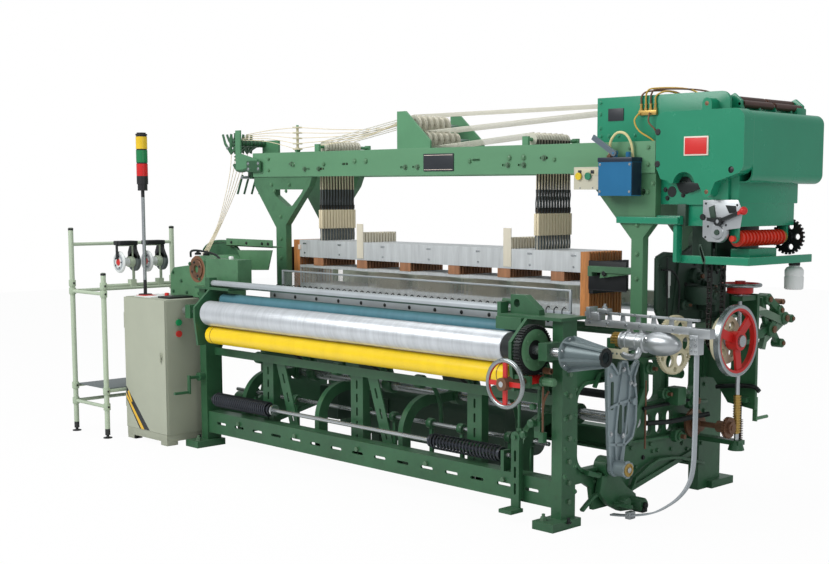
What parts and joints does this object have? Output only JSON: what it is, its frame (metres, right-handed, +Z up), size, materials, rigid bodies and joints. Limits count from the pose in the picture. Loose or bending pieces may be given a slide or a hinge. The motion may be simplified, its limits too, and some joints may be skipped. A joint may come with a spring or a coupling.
{
  "type": "power loom",
  "caption": "Flexible-rapier power loom with cast side frames, heald frames, dobby head, front rollers, let-off, control cabinet and weft creel.",
  "frame": {"origin": "floor level, at the centre of the four floor bolt holes of the side frames", "axes": "+X along the cloth width towards the dobby side, +Y from the operator's side to the warp side, +Z up"},
  "size_m": [4.526, 1.8958, 2.02],
  "materials": {
    "casting_green": "satin enamel",
    "beam_green": "satin enamel",
    "dobby_green": "satin enamel",
    "dark_green": "satin enamel",
    "dark_steel": "oiled",
    "bright_steel": "ground",
    "silver_paint": "aluminium paint",
    "roller_grey": "satin paint",
    "roller_blue": "satin paint",
    "roller_yellow": "satin paint",
    "red_paint": "gloss enamel",
    "cream_paint": "satin enamel",
    "copper": "oiled bronze",
    "alloy": "satin",
    "cord": "braided",
    "band": "woven",
    "wood": "varnished",
    "pump_blue": "gloss enamel",
    "cabinet_grey": "powder coat",
    "cabinet_door_grey": "powder coat",
    "black_tube": "satin paint",
    "plastic_yellow": "moulded",
    "plastic_green": "moulded",
    "plastic_red": "moulded",
    "plastic_white": "moulded",
    "box_grey": "powder coat",
    "pulley_green": "moulded"
  },
  "bodies": {
    "loom": {"side_frame_right": "casting_green", "side_frame_left": "casting_green", "lower_girders": "casting_green", "curved_brackets": "casting_green", "top_beams": "beam_green", "arches": "beam_green", "bolts": "dark_steel", "breast_beam": "bright_steel", "front_brackets": "casting_green", "spring_rod": "dark_steel", "harness_odd": "cord", "harness_even": "cord", "beam_fittings": "beam_green", "pulleys": "pulley_green", "lift_bands": "band", "drive_chain": "dark_steel", "rapier_case": "alloy", "letoff_case": "casting_green", "back_rest": "casting_green", "dobby_casing": "dobby_green", "dobby_front_cover": "dobby_green", "dobby_side_cover": "dobby_green", "oil_pump": "pump_blue", "drive_cases": "dark_green", "button_box": "box_grey", "cabinet_body": "cabinet_grey", "signal_tower": "plastic_white", "weft_creel": "black_tube"},
    "sley": {"sley": "silver_paint"},
    "takeup": {"takeup_roller": "roller_grey", "takeup_gear": "dark_steel"},
    "press": {"press_roller": "roller_blue"},
    "cloth": {"cloth_roller": "roller_yellow"},
    "front_wheel": {"front_handwheel": "dark_steel"},
    "start": {"start_lever": "wood"},
    "foot": {"foot_lever": "casting_green"},
    "crank_left": {"left_crank": "casting_green"},
    "crank_right": {"right_crank": "casting_green"},
    "healds_odd": {"heald_frames_odd": "alloy"},
    "healds_even": {"heald_frames_even": "alloy"},
    "selector": {"selector_levers": "pulley_green"},
    "drive": {"crankshaft": "dark_steel", "drive_handwheel": "red_paint"},
    "dobby_shaft": {"upper_chain_wheel": "dark_steel"},
    "drum": {"dobby_drum": "red_paint"},
    "rapier": {"rapier_wheel": "cream_paint"},
    "swing": {"swing_lever": "silver_paint"},
    "letoff": {"letoff_handwheel": "red_paint"},
    "letoff_cross": {"letoff_wormwheel": "copper"},
    "rear_roller": {"back_roller": "bright_steel"},
    "dobby_hand": {"dobby_lever": "dark_steel"},
    "pump_hand": {"pump_handle": "silver_paint"},
    "yellow": {"yellow_button": "plastic_yellow"},
    "green": {"green_button": "plastic_green"},
    "door": {"cabinet_door": "cabinet_door_grey"},
    "start_push": {"start_button": "plastic_green"},
    "stop_push": {"stop_button": "plastic_red"},
    "breaker": {"breaker_toggle": "plastic_red"},
    "feeder_a": {"feeder_disc_a": "plastic_white"},
    "feeder_b": {"feeder_disc_b": "plastic_white"}
  },
  "joints": [
    {"name": "sley_swing", "type": "hinge", "parent": "loom", "child": "sley", "pos_m": [0, -0.12, 0.44], "axis": [1, 0, 0], "range_deg": [-6, 12]},
    {"name": "takeup_turn", "type": "hinge", "parent": "loom", "child": "takeup", "pos_m": [0, -0.715, 0.834], "axis": [1, 0, 0], "continuous": true},
    {"name": "press_turn", "type": "hinge", "parent": "loom", "child": "press", "pos_m": [0, -0.605, 0.907], "axis": [1, 0, 0], "continuous": true},
    {"name": "cloth_turn", "type": "hinge", "parent": "loom", "child": "cloth", "pos_m": [0, -0.7, 0.703], "axis": [1, 0, 0], "continuous": true},
    {"name": "front_wheel_turn", "type": "hinge", "parent": "loom", "child": "front_wheel", "pos_m": [1.3275, -0.7, 0.694], "axis": [0, 1, 0], "continuous": true},
    {"name": "start_lever_tilt", "type": "hinge", "parent": "loom", "child": "start", "pos_m": [1.125, -0.55, 1.03], "axis": [0, 1, 0], "range_deg": [-8, 20]},
    {"name": "foot_lever_swing", "type": "hinge", "parent": "loom", "child": "foot", "pos_m": [1.19, -0.67, 0.4], "axis": [0, 1, 0], "range_deg": [-12, 12]},
    {"name": "left_crank_turn", "type": "hinge", "parent": "loom", "child": "crank_left", "pos_m": [-1.424, -0.7, 0.43], "axis": [0, 1, 0], "continuous": true},
    {"name": "right_crank_turn", "type": "hinge", "parent": "loom", "child": "crank_right", "pos_m": [1.722, 0.55, 0.5], "axis": [0, 1, 0], "continuous": true},
    {"name": "healds_odd_lift", "type": "slide", "parent": "loom", "child": "healds_odd", "axis": [0, 0, 1], "range_m": [0, 0.08], "deforming": ["harness_odd"]},
    {"name": "healds_even_lift", "type": "slide", "parent": "loom", "child": "healds_even", "axis": [0, 0, 1], "range_m": [0, 0.08], "deforming": ["harness_even"]},
    {"name": "selector_tilt", "type": "hinge", "parent": "loom", "child": "selector", "pos_m": [-1.77, 0, 1.87], "axis": [0, 1, 0], "range_deg": [-12, 8]},
    {"name": "drive_turn", "type": "hinge", "parent": "loom", "child": "drive", "pos_m": [1.84, 0.19, 0.845], "axis": [1, 0, 0], "continuous": true},
    {"name": "dobby_shaft_turn", "type": "hinge", "parent": "loom", "child": "dobby_shaft", "pos_m": [1.72, 0.19, 1.33], "axis": [1, 0, 0], "continuous": true},
    {"name": "drum_turn", "type": "hinge", "parent": "loom", "child": "drum", "pos_m": [1.95, 0.2, 1.345], "axis": [0, 1, 0], "continuous": true},
    {"name": "rapier_turn", "type": "hinge", "parent": "loom", "child": "rapier", "pos_m": [1.62, -0.01, 0.823], "axis": [1, 0, 0], "range_deg": [-150, 150]},
    {"name": "swing_lever_swing", "type": "hinge", "parent": "loom", "child": "swing", "pos_m": [1.52, -0.33, 0.25], "axis": [1, 0, 0], "range_deg": [-8, 8]},
    {"name": "letoff_turn", "type": "hinge", "parent": "loom", "child": "letoff", "pos_m": [1.722, 0.4, 1.1], "axis": [0, 0, 1], "continuous": true},
    {"name": "letoff_cross_turn", "type": "hinge", "parent": "loom", "child": "letoff_cross", "pos_m": [1.722, 0.325, 0.385], "axis": [1, 0, 0], "continuous": true},
    {"name": "rear_roller_turn", "type": "hinge", "parent": "loom", "child": "rear_roller", "pos_m": [0, 0.87, 0.93], "axis": [1, 0, 0], "continuous": true},
    {"name": "dobby_lever_swing", "type": "hinge", "parent": "loom", "child": "dobby_hand", "pos_m": [1.9, -0.08, 1.425], "axis": [0, 1, 0], "range_deg": [-20, 20]},
    {"name": "pump_handle_pull", "type": "hinge", "parent": "loom", "child": "pump_hand", "pos_m": [1.365, -0.18, 1.744], "axis": [0, 1, 0], "range_deg": [0, 35]},
    {"name": "yellow_press", "type": "slide", "parent": "loom", "child": "yellow", "axis": [0, 1, 0], "range_m": [0, 0.004], "stiffness_N_per_m": 400},
    {"name": "green_press", "type": "slide", "parent": "loom", "child": "green", "axis": [0, 1, 0], "range_m": [0, 0.004], "stiffness_N_per_m": 400},
    {"name": "cabinet_door_open", "type": "hinge", "parent": "loom", "child": "door", "pos_m": [-2, -0.839, 0.48], "axis": [0, 0, -1], "range_deg": [0, 90]},
    {"name": "start_press", "type": "slide", "parent": "loom", "child": "start_push", "axis": [-1, 0, 0], "range_m": [0, 0.004], "stiffness_N_per_m": 400},
    {"name": "stop_press", "type": "slide", "parent": "loom", "child": "stop_push", "axis": [-1, 0, 0], "range_m": [0, 0.004], "stiffness_N_per_m": 400},
    {"name": "breaker_flip", "type": "hinge", "parent": "loom", "child": "breaker", "pos_m": [-1.519, -0.597, 0.745], "axis": [0, 1, 0], "range_deg": [-25, 25]},
    {"name": "feeder_a_turn", "type": "hinge", "parent": "loom", "child": "feeder_a", "pos_m": [-2.075, -0.745, 1.11], "axis": [0, 1, 0], "continuous": true},
    {"name": "feeder_b_turn", "type": "hinge", "parent": "loom", "child": "feeder_b", "pos_m": [-2.075, -0.545, 1.11], "axis": [0, 1, 0], "continuous": true}
  ],
  "couplings": [
    {"joint": "press_turn", "follows": "takeup_turn", "ratio": -1.85},
    {"joint": "cloth_turn", "follows": "takeup_turn", "ratio": -1.4231},
    {"joint": "dobby_shaft_turn", "follows": "drive_turn", "ratio": 1},
    {"joint": "drum_turn", "follows": "drive_turn", "ratio": 0.5},
    {"joint": "letoff_cross_turn", "follows": "letoff_turn", "ratio": 0.038462}
  ]
}
